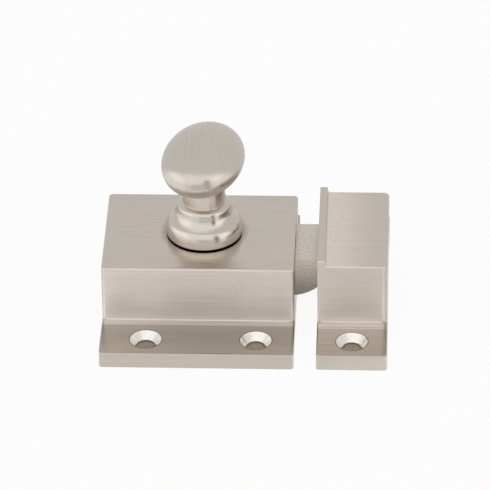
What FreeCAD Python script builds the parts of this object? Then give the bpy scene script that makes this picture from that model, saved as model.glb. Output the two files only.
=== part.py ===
"""Cupboard catch latch: a flanged case with a turn knob and a spring bolt, and its strike.

The latch lies on its back. The origin is the knob's axis on the mounting plane, +X points
along the bolt to the strike, +Y along the flanged side and +Z away from the cupboard door.
Turning the knob swings a crank pin in a cross slot of the bolt's tail, which draws the
bolt in against its spring.
"""

import FreeCAD, Part

import math
import os

import Sketcher
from FreeCAD import Placement, Rotation, Vector

SHEET = "Sizes"

# Driving sizes in millimetres, angles in degrees
SIZES = {
    # How far joined features run into each other and cuts run past a face
    "overlap": 0.2,
    # Case
    "case_left": 19.8,
    "case_right": 18.3,
    "total_depth": 50.8,
    "block_depth": 27.8,
    "case_height": 15.44,
    "flange_thickness": 3.38,
    "draft_angle": 1.1,
    "wall_thickness": 2.0,
    "roof_thickness": 2.16,
    "corner_round": 0.7,
    "edge_round": 0.45,
    "side_inset": 0.06,
    "foot_round": 0.4,
    "flange_edge_round": 0.25,
    # Screw holes of the case and the strike
    "screw_spacing_along": 21.6,
    "screw_spacing_across": 41.0,
    "screw_hole_radius": 1.85,
    "countersink_radius": 3.1,
    "countersink_angle": 82.0,
    # Knob
    "knob_gap": 0.35,
    "base_radius": 7.5,
    "base_band": 1.2,
    "bead_radius": 7.0,
    "bead_height": 2.95,
    "bead_round": 1.2,
    "cove_radius": 6.72,
    "cove_foot": 3.26,
    "cove_round": 3.7,
    "collar_radius": 5.3,
    "collar_height": 5.95,
    "collar_round": 1.15,
    "neck_radius": 4.22,
    "neck_foot": 7.05,
    "neck_round": 0.7,
    "head_length": 22.2,
    "head_width": 15.9,
    "head_height": 11.5,
    "head_centre": 16.35,
    "head_turn": 13.0,
    "shank_radius": 3.0,
    "shank_clearance": 0.05,
    "square_width": 4.2,
    # Crank on the knob's square end
    "crank_radius": 6.4,
    "crank_swing": 30.0,
    "crank_thickness": 2.0,
    "crank_clearance": 0.3,
    "hub_radius": 3.7,
    "hub_play": 0.2,
    "pin_radius": 1.2,
    "pin_clearance": 0.15,
    "arm_margin": 1.0,
    "square_clearance": 0.03,
    "screw_radius": 1.25,
    "screw_length": 5.0,
    "screw_head_radius": 2.4,
    "screw_head_height": 1.5,
    "screw_head_chamfer": 0.5,
    "screw_slot_width": 0.6,
    "screw_slot_depth": 0.75,
    "washer_radius": 2.9,
    "washer_thickness": 0.4,
    "thread_clearance": 0.02,
    "screw_runout": 0.5,
    # Bolt
    "bolt_side_room": 5.4,
    "bolt_height": 8.45,
    "bolt_reach": 7.2,
    "post_clearance": 0.4,
    "slide_clearance": 0.08,
    "stop_gap": 0.05,
    "tail_thickness": 2.6,
    "tail_margin": 1.1,
    "lug_thickness": 1.4,
    "lug_width": 6.4,
    "nose_round": 0.35,
    # Spring behind the bolt
    "spring_radius": 2.2,
    "spring_wire": 0.6,
    "spring_turns": 6.5,
    "spring_gap": 0.03,
    "pilot_radius": 1.5,
    "pilot_length": 1.8,
    # Back plate and its screws
    "plate_thickness": 1.2,
    "plate_clearance": 0.1,
    "post_radius": 2.2,
    "post_inset": 0.3,
    "plate_screw_radius": 0.85,
    "plate_screw_depth": 4.0,
    "plate_screw_head": 1.5,
    "plate_screw_slot": 0.42,
    "plate_countersink_angle": 90.0,
    # Strike
    "strike_gap": 4.36,
    "strike_width": 13.93,
    "strike_height": 16.47,
    "lip_height": 1.2,
    "lip_width": 1.55,
    "lip_foot_round": 0.7,
    "strike_corner_round": 1.1,
    "strike_roof": 2.3,
    "window_clearance": 0.8,
}

# Heights and places that follow from the driving sizes
DERIVED = {
    "cavity_top": "case_height - roof_thickness",
    "bolt_top": "cavity_top - slide_clearance",
    "bolt_bottom": "bolt_top - bolt_height",
    "plate_top": "bolt_bottom - slide_clearance",
    "plate_bottom": "plate_top - plate_thickness",
    "tail_top": "bolt_bottom + tail_thickness",
    "crank_bottom": "tail_top + crank_clearance",
    "hub_top": "cavity_top - hub_play",
    "knob_bottom": "case_height + knob_gap",
    "cavity_left": "case_left - wall_thickness",
    "cavity_right": "case_right - wall_thickness",
    "cavity_side": "block_depth / 2 - wall_thickness",
    "pin_along": "crank_radius * sin(crank_swing * 1deg)",
    "bolt_travel": "2 * pin_along",
    "bolt_block_left": "bolt_travel + hub_radius + crank_clearance",
    "bolt_tip": "case_right + bolt_reach",
    "lug_right": "hub_radius + crank_clearance + stop_gap",
    "lug_left": "lug_right + lug_thickness",
    "tail_side": "crank_radius + pin_radius + pin_clearance + tail_margin",
    "spring_height": "(tail_top + cavity_top) / 2",
    "post_along_left": "cavity_left - post_radius + post_inset",
    "post_along_right": "cavity_right - post_radius + post_inset",
    "post_across": "cavity_side - post_radius + post_inset",
    "bolt_width": "2 * (cavity_side - bolt_side_room)",
    "shoulder_side": "cavity_side - 2 * post_radius + post_inset - post_clearance",
    "strike_left": "case_right + strike_gap",
    "foot_spread": "foot_round * (1 - sin(draft_angle * 1deg)) / cos(draft_angle * 1deg)",
    "foot_line_end": "corner_round + 2 * side_inset",
}

# The back plate's screws sit in two posts, diagonally opposite
PLATE_SCREWS = (("-post_along_left", "post_across"), ("post_along_right", "-post_across"))

# Two coordinates this close, in millimetres, are taken as one
TOUCH = 0.01

# How far, in millimetres, the box of a curved seam may stand off the seam
SEAM_TOUCH = 0.1

doc = FreeCAD.newDocument("CupboardCatchLatch")
sheet = doc.addObject("Spreadsheet::Sheet", SHEET)


def fill_sheet():
    """Write the driving sizes and the values that follow from them into the sheet."""
    row = 0
    for alias, value in SIZES.items():
        row += 1
        sheet.set(f"A{row}", alias)
        sheet.set(f"B{row}", str(value))
        sheet.setAlias(f"B{row}", alias)
    doc.recompute()
    for alias, formula in DERIVED.items():
        row += 1
        sheet.set(f"A{row}", alias)
        sheet.set(f"B{row}", "=" + formula)
        sheet.setAlias(f"B{row}", alias)
    doc.recompute()


def bound(formula):
    """Prefix every alias in a formula with the sheet's name."""
    words = []
    word = ""
    for letter in formula + " ":
        if letter.isalnum() or letter == "_":
            word += letter
            continue
        if word in SIZES or word in DERIVED:
            word = f"{SHEET}.{word}"
        words.append(word + letter)
        word = ""
    return "".join(words).strip()


def number(formula):
    """The present value of a formula."""
    value = sheet.evalExpression(bound(formula))
    return float(getattr(value, "Value", value))


def bind(item, prop, formula):
    """Tie a property of an object to the sheet."""
    item.setExpression(prop, bound(formula))


def new_body(name):
    """A body whose label names its file."""
    body = doc.addObject("PartDesign::Body", name)
    body.Label = name
    return body


def origin_part(body, role):
    """One of the body's own origin planes or axes."""
    return [item for item in body.Origin.OriginFeatures if item.Role == role][0]


def new_sketch(body, name, plane, offset="0", turn=None):
    """A sketch on one of the body's planes, shifted along the plane's normal."""
    sketch = body.newObject("Sketcher::SketchObject", name)
    sketch.AttachmentSupport = [(origin_part(body, plane), "")]
    sketch.MapMode = "FlatFace"
    bind(sketch, ".AttachmentOffset.Base.z", offset)
    if turn:
        bind(sketch, ".AttachmentOffset.Rotation.Angle", turn)
    return sketch


def fix_point(sketch, geometry, end, across, along):
    """Hold a point of the sketch at two bound distances from its origin."""
    for kind, axis, formula in (("DistanceX", -2, across), ("DistanceY", -1, along)):
        if formula == "0":
            sketch.addConstraint(Sketcher.Constraint("PointOnObject", geometry, end, axis))
            continue
        rule = Sketcher.Constraint(kind, -1, 1, geometry, end, number(formula))
        index = sketch.addConstraint(rule)
        bind(sketch, f"Constraints[{index}]", formula)


def add_rectangle(sketch, left, right, low, high):
    """A rectangle whose two opposite corners are bound."""
    add_outline(sketch, [(left, low), (right, low), (right, high), (left, high)])


def add_circle(sketch, across, along, radius):
    """A circle with a bound centre and radius."""
    centre = Vector(number(across), number(along), 0)
    circle = sketch.addGeometry(Part.Circle(centre, Vector(0, 0, 1), number(radius)))
    fix_point(sketch, circle, 3, across, along)
    index = sketch.addConstraint(Sketcher.Constraint("Radius", circle, number(radius)))
    bind(sketch, f"Constraints[{index}]", radius)


def arc_middle(start, end, radius):
    """The middle of an arc between two points; a negative radius bulges to the right."""
    chord = end.sub(start)
    half = chord.Length / 2
    side = Vector(-chord.y, chord.x, 0).normalize()
    rise = abs(radius) - math.sqrt(max(radius * radius - half * half, 0))
    return start.add(end).multiply(0.5).add(side.multiply(math.copysign(rise, radius)))


def add_outline(sketch, corners, arcs=None):
    """A closed outline of lines and of arcs, given by the index of the corner they leave.

    A sketch keeps its arcs counter-clockwise, so one that bulges to the left is drawn
    from its end to its start.
    """
    arcs = arcs or {}
    points = [Vector(number(across), number(along), 0) for across, along in corners]
    count = len(points)
    first = None
    ends = []
    for index, start in enumerate(points):
        end = points[(index + 1) % count]
        bulge = number(arcs[index]) if index in arcs else 0
        middle = arc_middle(start, end, bulge) if bulge else None
        if bulge > 0:
            item = sketch.addGeometry(Part.Arc(end, middle, start))
        elif bulge < 0:
            item = sketch.addGeometry(Part.Arc(start, middle, end))
        else:
            item = sketch.addGeometry(Part.LineSegment(start, end))
        ends.append((2, 1) if bulge > 0 else (1, 2))
        first = item if first is None else first
    for index in range(count):
        following = (index + 1) % count
        rule = Sketcher.Constraint("Coincident", first + index, ends[index][1],
                                   first + following, ends[following][0])
        sketch.addConstraint(rule)
    for index, (across, along) in enumerate(corners):
        fix_point(sketch, first + index, ends[index][0], across, along)
    for index, radius in arcs.items():
        size = abs(number(radius))
        place = sketch.addConstraint(Sketcher.Constraint("Radius", first + index, size))
        bind(sketch, f"Constraints[{place}]", f"abs({radius})")


def add_feature(body, kind, name, sketch, **settings):
    """A feature on a sketch; text settings are formulas, the others plain values."""
    feature = body.newObject(f"PartDesign::{kind}", name)
    feature.Profile = sketch
    for prop, value in settings.items():
        if isinstance(value, str) and hasattr(getattr(feature, prop), "Value"):
            bind(feature, prop, value)
        else:
            setattr(feature, prop, value)
    sketch.Visibility = False
    doc.recompute()
    return feature


def round_edges(body, name, radius, chosen):
    """Fillet the edges of the body's tip that pass the given test."""
    doc.recompute()
    tip = body.Tip
    names = [f"Edge{place}" for place, edge in enumerate(tip.Shape.Edges, 1) if chosen(edge)]
    fillet = body.newObject("PartDesign::Fillet", name)
    fillet.Base = (tip, names)
    bind(fillet, "Radius", radius)
    doc.recompute()
    return fillet


def near(value, formula):
    """Whether a coordinate is at the place that a formula gives."""
    return abs(value - number(formula)) < TOUCH


def add_screw_holes(body, centres):
    """Countersunk screw holes through the flanges."""
    sketch = new_sketch(body, f"{body.Name}_screw_centres", "XY_Plane", "flange_thickness")
    for across, along in centres:
        add_circle(sketch, across, along, "screw_hole_radius")
    doc.recompute()
    holes = body.newObject("PartDesign::Hole", f"{body.Name}_screw_holes")
    holes.Profile = sketch
    holes.DepthType = "ThroughAll"
    holes.Threaded = False
    bind(holes, "Diameter", "2 * screw_hole_radius")
    holes.HoleCutType = "Countersink"
    holes.HoleCutCustomValues = True
    bind(holes, "HoleCutDiameter", "2 * countersink_radius")
    bind(holes, "HoleCutCountersinkAngle", "countersink_angle")
    sketch.Visibility = False
    doc.recompute()


def level_edges(height, left=None):
    """A test for edges that lie level at a height, without those at the left side."""
    def chosen(edge):
        box = edge.BoundBox
        at_left = left is not None and near(box.XMax, left)
        return near(box.ZMin, height) and box.ZLength < TOUCH and not at_left
    return chosen


def upright_edges(left_side=True, right_side=True):
    """A test for a block's upright corner edges, on one or both ends."""
    def chosen(edge):
        box = edge.BoundBox
        wanted = right_side if box.XMin > TOUCH else left_side
        return wanted and box.ZLength > number("lip_height") and box.XLength < TOUCH
    return chosen


def make_foot(name, left, right, corner):
    """The flange plate under the walls, with rounded corners and rims."""
    body = new_body(f"{name}_foot")
    outline = new_sketch(body, f"{name}_foot_outline", "XY_Plane")
    add_rectangle(outline, left, right, "-total_depth / 2", "total_depth / 2")
    add_feature(body, "Pad", f"{name}_foot_pad", outline, Length="flange_thickness")
    round_edges(body, f"{name}_foot_corners", corner, upright_edges())
    round_edges(body, f"{name}_foot_rims", "flange_edge_round", level_edges("flange_thickness"))
    return body


def add_walls(body, name, left, right, height):
    """A block with drafted front and back walls, its full depth at the flange's top."""
    spread = "flange_thickness * tan(draft_angle * 1deg)"
    lean = f"({height} - flange_thickness) * tan(draft_angle * 1deg)"
    section = new_sketch(body, f"{name}_section", "YZ_Plane", left)
    add_outline(section, [
        (f"-(block_depth / 2 + {spread})", "0"),
        (f"block_depth / 2 + {spread}", "0"),
        (f"block_depth / 2 - {lean}", height),
        (f"-(block_depth / 2 - {lean})", height),
    ])
    add_feature(body, "Pad", name, section, Length=f"{right} - ({left})")


def make_foot_lines(name, left, right):
    """The two concave rounds where the walls meet the flanges."""
    lines = []
    side = "block_depth / 2"
    for place, sign in (("front", "-"), ("back", "")):
        body = new_body(f"{name}_foot_line_{place}")
        section = new_sketch(body, f"{name}_foot_line_{place}_section", "YZ_Plane", left)
        rise = "flange_thickness + foot_round * (1 - sin(draft_angle * 1deg))"
        bulge = f"{sign}foot_round"
        add_outline(section, [
            (f"{sign}({side} + foot_spread)", "flange_thickness"),
            (f"{sign}({side} + foot_spread - foot_round * cos(draft_angle * 1deg))", rise),
            (f"{sign}({side} - foot_round)", rise),
            (f"{sign}({side} - foot_round)", "flange_thickness / 2"),
            (f"{sign}({side} + foot_spread)", "flange_thickness / 2"),
        ], {0: bulge})
        add_feature(body, "Pad", f"{name}_foot_line_{place}_pad", section,
                    Length=f"{right} - ({left})")
        lines.append(body)
    return lines


def join_hat(name, pieces):
    """Join the flange plate, the walls and the foot rounds into one casting."""
    hat = doc.addObject("Part::MultiFuse", f"{name}_hat")
    hat.Shapes = pieces
    hat.Refine = True
    doc.recompute()
    body = new_body(name)
    body.BaseFeature = hat
    doc.recompute()
    return body


def make_case():
    """The case: one casting, open at the back, with posts for the back plate inside."""
    foot = make_foot("case", "-case_left", "case_right", "corner_round")
    walls = new_body("case_walls")
    add_walls(walls, "case_block", "-case_left + side_inset", "case_right - side_inset",
              "case_height")
    round_edges(walls, "case_corners", "corner_round", upright_edges())
    round_edges(walls, "case_rim", "edge_round", level_edges("case_height"))
    lines = make_foot_lines("case", "-case_left + foot_line_end", "case_right - foot_line_end")
    body = join_hat("case", [foot, walls] + lines)

    cavity = new_sketch(body, "case_cavity_outline", "XY_Plane")
    add_rectangle(cavity, "-cavity_left", "cavity_right", "-cavity_side", "cavity_side")
    add_feature(body, "Pocket", "case_cavity", cavity, Length="cavity_top", Reversed=True)

    posts = new_sketch(body, "case_post_circles", "XY_Plane", "plate_top")
    for along in ("-post_along_left", "post_along_right"):
        for across in ("-post_across", "post_across"):
            add_circle(posts, along, across, "post_radius")
    add_feature(body, "Pad", "case_posts", posts, Length="cavity_top - plate_top + overlap")

    pilot = new_sketch(body, "case_pilot_circle", "YZ_Plane", "-cavity_left - overlap")
    add_circle(pilot, "0", "spring_height", "pilot_radius")
    add_feature(body, "Pad", "case_pilot", pilot, Length="pilot_length + overlap")

    window = new_sketch(body, "case_window_outline", "YZ_Plane", "cavity_right - overlap")
    half = "bolt_width / 2 + slide_clearance"
    add_rectangle(window, f"-({half})", half, "bolt_bottom - slide_clearance", "cavity_top")
    add_feature(body, "Pocket", "case_window", window, Reversed=True,
                Length="wall_thickness + 2 * overlap")

    bearing = new_sketch(body, "case_bearing_circle", "XY_Plane", "case_height")
    add_circle(bearing, "0", "0", "shank_radius + shank_clearance")
    add_feature(body, "Pocket", "case_bearing", bearing, Length="roof_thickness + overlap")

    tapped = new_sketch(body, "case_tapped_circles", "XY_Plane", "plate_top")
    for along, across in PLATE_SCREWS:
        add_circle(tapped, along, across, "plate_screw_radius + thread_clearance")
    add_feature(body, "Pocket", "case_tapped", tapped, Reversed=True,
                Length="plate_screw_depth + screw_runout")

    half_along = "screw_spacing_along / 2"
    half_across = "screw_spacing_across / 2"
    centres = [(f"{one}{half_along}", f"{two}{half_across}")
               for one in ("-", "") for two in ("-", "")]
    add_screw_holes(body, centres)
    return body


def make_strike():
    """The strike: the same hat section, hollow, with a window and a raised lip."""
    foot = make_foot("strike", "0", "strike_width", "corner_round")
    walls = new_body("strike_walls")
    add_walls(walls, "strike_block", "side_inset", "strike_width - side_inset",
              "strike_height")
    round_edges(walls, "strike_far_corners", "strike_corner_round", upright_edges(left_side=False))
    round_edges(walls, "strike_rim", "edge_round", level_edges("strike_height", "side_inset"))
    lip = new_body("strike_lip_walls")
    lip_top = "strike_height + lip_height"
    add_walls(lip, "strike_lip", "side_inset", "lip_width", lip_top)
    round_edges(lip, "strike_lip_ends", "edge_round",
                lambda edge: near(edge.BoundBox.ZMin, lip_top) and edge.BoundBox.XLength > TOUCH)
    lines = make_foot_lines("strike", "foot_line_end",
                            "strike_width - strike_corner_round - 2 * side_inset")
    body = join_hat("strike", [foot, walls, lip, make_lip_line()] + lines)

    cavity = new_sketch(body, "strike_cavity_outline", "XY_Plane")
    add_rectangle(cavity, "wall_thickness", "strike_width - wall_thickness",
                  "-cavity_side", "cavity_side")
    add_feature(body, "Pocket", "strike_cavity", cavity,
                Length="strike_height - strike_roof", Reversed=True)

    window = new_sketch(body, "strike_window_outline", "YZ_Plane", "-overlap")
    half = "bolt_width / 2 + window_clearance"
    add_rectangle(window, f"-({half})", half, "flange_thickness", "strike_height - strike_roof")
    add_feature(body, "Pocket", "strike_window", window, Reversed=True,
                Length="wall_thickness + 2 * overlap")

    middle = "strike_width / 2"
    half_across = "screw_spacing_across / 2"
    add_screw_holes(body, [(middle, f"-{half_across}"), (middle, half_across)])
    bind(body, "Placement.Base.x", "strike_left")
    return body


def make_lip_line():
    """The concave round between the strike's lip and its flat top."""
    body = new_body("strike_lip_line")
    section = new_sketch(body, "strike_lip_line_section", "XZ_Plane")
    low = "strike_height - lip_height"
    inner = "lip_width - lip_foot_round / 2"
    add_outline(section, [
        ("lip_width + lip_foot_round", "strike_height"),
        ("lip_width", "strike_height + lip_foot_round"),
        (inner, "strike_height + lip_foot_round"),
        (inner, low),
        ("lip_width + lip_foot_round", low),
    ], {0: "lip_foot_round"})
    lean = "(strike_height - flange_thickness) * tan(draft_angle * 1deg)"
    add_feature(body, "Pad", "strike_lip_line_pad", section, Midplane=True,
                Length=f"block_depth - 2 * ({lean} + edge_round)")
    return body


def make_knob():
    """The knob: oval head, neck, collar, cove and base bead turned in one with the shank."""
    body = new_body("knob")
    profile = new_sketch(body, "knob_profile", "XZ_Plane")
    hub_seat = "hub_top - knob_bottom"
    corners = [
        ("0", hub_seat),
        ("shank_radius", hub_seat),
        ("shank_radius", "0"),
        ("base_radius", "0"),
        ("base_radius", "base_band"),
        ("bead_radius", "bead_height"),
        ("cove_radius", "cove_foot"),
        ("collar_radius", "collar_height"),
        ("neck_radius", "neck_foot"),
        ("neck_radius", "head_centre - head_height / 4"),
        ("0", "head_centre - head_height / 4"),
    ]
    band_step = "(base_radius - bead_radius)"
    band_rise = "(bead_height - base_band)"
    arcs = {
        4: f"-({band_step} ^ 2 + {band_rise} ^ 2) / (2 * {band_step})",
        5: "-bead_round",
        6: "cove_round",
        7: "-collar_round",
    }
    add_outline(profile, corners, arcs)
    turned = body.newObject("PartDesign::Revolution", "knob_turning")
    turned.Profile = profile
    turned.ReferenceAxis = (profile, ["V_Axis"])
    turned.Angle = 360
    profile.Visibility = False
    doc.recompute()

    head = body.newObject("PartDesign::AdditiveEllipsoid", "knob_head")
    head.AttachmentSupport = [(origin_part(body, "XY_Plane"), "")]
    head.MapMode = "FlatFace"
    bind(head, "Radius1", "head_height / 2")
    bind(head, "Radius2", "head_width / 2")
    bind(head, "Radius3", "head_length / 2")
    bind(head, ".AttachmentOffset.Base.z", "head_centre")
    bind(head, ".AttachmentOffset.Rotation.Angle", "-head_turn")
    doc.recompute()

    round_edges(body, "knob_neck_round", "neck_round", wraps_neck)

    square = new_sketch(body, "knob_square_outline", "XY_Plane", f"{hub_seat} + overlap",
                        "crank_swing")
    side = "square_width / 2"
    add_rectangle(square, f"-{side}", side, f"-{side}", side)
    add_feature(body, "Pad", "knob_square", square, Reversed=True,
                Length="hub_top - crank_bottom - stop_gap + overlap")
    bore = new_sketch(body, "knob_bore_circle", "XY_Plane", "crank_bottom - knob_bottom")
    add_circle(bore, "0", "0", "screw_radius + thread_clearance")
    add_feature(body, "Pocket", "knob_bore", bore, Length="screw_length + screw_runout",
                Reversed=True)
    bind(body, "Placement.Base.z", "knob_bottom")
    return body


def wraps_neck(edge):
    """Whether an edge is where the neck runs into the head."""
    box = edge.BoundBox
    neck = number("neck_radius")
    above = box.ZMin > number("neck_foot") + neck / 4
    return above and abs(box.XMax - neck) < SEAM_TOUCH and box.XLength > neck


def make_crank():
    """The crank: a hub with a square hole, an arm and the drive pin under its end."""
    body = new_body("crank")
    arm = new_sketch(body, "crank_arm_outline", "XY_Plane")
    tip = "pin_radius + arm_margin"
    add_rectangle(arm, f"-({tip})", tip, "-crank_radius", "0")
    add_feature(body, "Pad", "crank_arm", arm, Length="crank_thickness")
    eye = new_sketch(body, "crank_eye_circle", "XY_Plane")
    add_circle(eye, "0", "-crank_radius", tip)
    add_feature(body, "Pad", "crank_eye", eye, Length="crank_thickness")
    hub = new_sketch(body, "crank_hub_circle", "XY_Plane")
    add_circle(hub, "0", "0", "hub_radius")
    add_feature(body, "Pad", "crank_hub", hub, Length="hub_top - crank_bottom")
    pin = new_sketch(body, "crank_pin_circle", "XY_Plane", "overlap")
    add_circle(pin, "0", "-crank_radius", "pin_radius")
    add_feature(body, "Pad", "crank_pin", pin, Reversed=True,
                Length="tail_thickness + crank_clearance - slide_clearance + overlap")
    square = new_sketch(body, "crank_square_outline", "XY_Plane", "-overlap")
    side = "square_width / 2 + square_clearance"
    add_rectangle(square, f"-({side})", side, f"-({side})", side)
    add_feature(body, "Pocket", "crank_square", square, Reversed=True,
                Length="hub_top - crank_bottom + 2 * overlap")
    bind(body, "Placement.Base.z", "crank_bottom")
    bind(body, "Placement.Rotation.Angle", "crank_swing")
    return body


def make_crank_washer():
    """The washer between the crank and its screw."""
    body = new_body("crank_washer")
    ring = new_sketch(body, "washer_rings", "XY_Plane")
    add_circle(ring, "0", "0", "washer_radius")
    add_circle(ring, "0", "0", "screw_radius + shank_clearance")
    add_feature(body, "Pad", "washer_pad", ring, Length="washer_thickness")
    bind(body, "Placement.Base.z", "crank_bottom - washer_thickness")
    return body


def make_crank_screw():
    """The pan-headed screw that holds the crank on the knob's square end."""
    body = new_body("crank_screw")
    profile = new_sketch(body, "crank_screw_profile", "XZ_Plane")
    add_outline(profile, [
        ("0", "-screw_head_height"),
        ("screw_head_radius - screw_head_chamfer", "-screw_head_height"),
        ("screw_head_radius", "screw_head_chamfer - screw_head_height"),
        ("screw_head_radius", "0"),
        ("screw_radius", "0"),
        ("screw_radius", "screw_length + washer_thickness"),
        ("0", "screw_length + washer_thickness"),
    ])
    turned = body.newObject("PartDesign::Revolution", "crank_screw_turning")
    turned.Profile = profile
    turned.ReferenceAxis = (profile, ["V_Axis"])
    turned.Angle = 360
    profile.Visibility = False
    doc.recompute()
    slot = new_sketch(body, "crank_screw_slot_outline", "XY_Plane", "-screw_head_height")
    add_rectangle(slot, "-screw_head_radius", "screw_head_radius",
                  "-screw_slot_width / 2", "screw_slot_width / 2")
    add_feature(body, "Pocket", "crank_screw_slot", slot, Reversed=True,
                Length="screw_slot_depth")
    bind(body, "Placement.Base.z", "crank_bottom - washer_thickness")
    return body


def make_bolt():
    """The bolt: quarter-round nose, stop shoulder, slotted tail and spring lug."""
    body = new_body("bolt")
    nose = new_sketch(body, "bolt_nose_profile", "XZ_Plane")
    add_outline(nose, [
        ("bolt_block_left", "bolt_bottom"),
        ("bolt_tip - bolt_height", "bolt_bottom"),
        ("bolt_tip", "bolt_top"),
        ("bolt_block_left", "bolt_top"),
    ], {1: "-bolt_height"})
    add_feature(body, "Pad", "bolt_nose", nose, Length="bolt_width", Midplane=True)
    round_edges(body, "bolt_nose_round", "nose_round", ends_nose)

    block = new_sketch(body, "bolt_block_outline", "XY_Plane", "bolt_bottom")
    add_rectangle(block, "bolt_block_left", "cavity_right - stop_gap",
                  "-shoulder_side", "shoulder_side")
    add_feature(body, "Pad", "bolt_block", block, Length="bolt_height")

    tail = new_sketch(body, "bolt_tail_outline", "XY_Plane", "bolt_bottom")
    add_rectangle(tail, "-lug_left", "bolt_block_left + overlap", "-tail_side", "tail_side")
    add_feature(body, "Pad", "bolt_tail", tail, Length="tail_thickness")

    lug = new_sketch(body, "bolt_lug_outline", "XY_Plane", "bolt_bottom")
    add_rectangle(lug, "-lug_left", "-lug_right", "-lug_width / 2", "lug_width / 2")
    add_feature(body, "Pad", "bolt_lug", lug, Length="bolt_height")

    pilot = new_sketch(body, "bolt_pilot_circle", "YZ_Plane", "-lug_left + overlap")
    add_circle(pilot, "0", "spring_height", "pilot_radius")
    add_feature(body, "Pad", "bolt_pilot", pilot, Length="pilot_length + overlap",
                Reversed=True)

    window = new_sketch(body, "bolt_window_outline", "XY_Plane", "bolt_bottom - overlap")
    reach = "washer_radius + crank_clearance"
    add_rectangle(window, f"-({reach})", f"bolt_travel + {reach}", f"-({reach})", reach)
    add_feature(body, "Pocket", "bolt_window", window, Reversed=True,
                Length="tail_thickness + 2 * overlap")

    slot = new_sketch(body, "bolt_slot_outline", "XY_Plane", "bolt_bottom - overlap")
    half = "pin_radius + pin_clearance"
    add_rectangle(slot, f"pin_along - ({half})", f"pin_along + {half}",
                  f"-(crank_radius + {half} + pin_clearance)",
                  "-(crank_radius * cos(crank_swing * 1deg) - pin_radius - 2 * pin_clearance)")
    add_feature(body, "Pocket", "bolt_slot", slot, Reversed=True,
                Length="tail_thickness + 2 * overlap")
    return body


def ends_nose(edge):
    """Whether an edge is the upper one at the bolt's tip."""
    box = edge.BoundBox
    return box.XMin > number("case_right + bolt_reach / 2") and near(box.ZMin, "bolt_top")


def make_spring():
    """The spring: a wire helix between the case's wall and the bolt's lug."""
    start = -number("cavity_left") + number("spring_gap") + number("spring_wire") / 2
    finish = -number("lug_left") - number("spring_gap") - number("spring_wire") / 2
    length = finish - start
    radius = number("spring_radius")
    wire = number("spring_wire")
    pitch = length / number("spring_turns")
    helix = Part.makeHelix(pitch, length, radius)
    ring = Part.Wire(Part.makeCircle(wire / 2, Vector(radius, 0, 0), Vector(0, 1, 0)))
    coil = Part.Wire(helix).makePipeShell([ring], True, True)
    spring = doc.addObject("Part::Feature", "bolt_spring")
    spring.Label = "bolt_spring"
    spring.Shape = coil
    spring.Placement = Placement(Vector(start, 0, number("spring_height")),
                                 Rotation(Vector(0, 1, 0), 90))
    return spring


def make_back_plate():
    """The steel plate that closes the case behind the bolt."""
    body = new_body("back_plate")
    plate = new_sketch(body, "plate_outline", "XY_Plane")
    edge = "plate_clearance"
    add_rectangle(plate, f"-cavity_left + {edge}", f"cavity_right - {edge}",
                  f"-cavity_side + {edge}", f"cavity_side - {edge}")
    add_feature(body, "Pad", "plate_pad", plate, Length="plate_thickness")
    holes = new_sketch(body, "plate_hole_circles", "XY_Plane")
    for along, across in PLATE_SCREWS:
        add_circle(holes, along, across, "plate_screw_radius + shank_clearance")
    doc.recompute()
    bored = body.newObject("PartDesign::Hole", "plate_holes")
    bored.Profile = holes
    bored.DepthType = "ThroughAll"
    bored.Threaded = False
    bored.Reversed = True
    bind(bored, "Diameter", "2 * (plate_screw_radius + shank_clearance)")
    bored.HoleCutType = "Countersink"
    bored.HoleCutCustomValues = True
    bind(bored, "HoleCutDiameter", "2 * (plate_screw_head + shank_clearance)")
    bind(bored, "HoleCutCountersinkAngle", "plate_countersink_angle")
    holes.Visibility = False
    doc.recompute()
    bind(body, "Placement.Base.z", "plate_bottom")
    return body


def make_plate_screws():
    """The two countersunk screws of the back plate, as one group of solids."""
    head = number("plate_screw_head")
    shank = number("plate_screw_radius")
    length = number("plate_thickness + plate_screw_depth")
    slot_width = number("plate_screw_slot")
    screws = []
    for along, across in PLATE_SCREWS:
        cone = Part.makeCone(head, shank, head - shank)
        rod = Part.makeCylinder(shank, length)
        slot = Part.makeBox(2 * head, slot_width, (head - shank) / 2,
                            Vector(-head, -slot_width / 2, 0))
        screw = cone.fuse(rod).cut(slot).removeSplitter()
        screw.translate(Vector(number(along), number(across), 0))
        screws.append(screw)
    group = doc.addObject("Part::Feature", "plate_screws")
    group.Label = "plate_screws"
    group.Shape = Part.makeCompound(screws)
    group.Placement = Placement(Vector(0, 0, number("plate_bottom")), Rotation())
    return group


def check_document():
    """Stop if any object of the document failed to compute."""
    failed = [item.Name for item in doc.Objects
              if "Invalid" in item.State or "Error" in item.State]
    if failed:
        raise RuntimeError(f"failed to compute: {failed}")


def write_parts(parts):
    """Write each sub-part's shape to its own file."""
    os.makedirs("parts", exist_ok=True)
    for part in parts:
        if part.Shape.isNull() or not part.Shape.isValid():
            raise RuntimeError(f"{part.Label} has no valid shape")
    for part in parts:
        part.Shape.exportStep(os.path.join("parts", f"{part.Label}.step"))
        box = part.Shape.BoundBox
        print(f"{part.Label}: {len(part.Shape.Solids)} solid(s), "
              f"{part.Shape.Volume:.1f} mm3, X {box.XMin:.2f} to {box.XMax:.2f}, "
              f"Y {box.YMin:.2f} to {box.YMax:.2f}, Z {box.ZMin:.2f} to {box.ZMax:.2f}")


fill_sheet()
parts = [
    make_case(),
    make_strike(),
    make_knob(),
    make_crank(),
    make_crank_washer(),
    make_crank_screw(),
    make_bolt(),
    make_spring(),
    make_back_plate(),
    make_plate_screws(),
]
doc.recompute()
check_document()
write_parts(parts)
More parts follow.
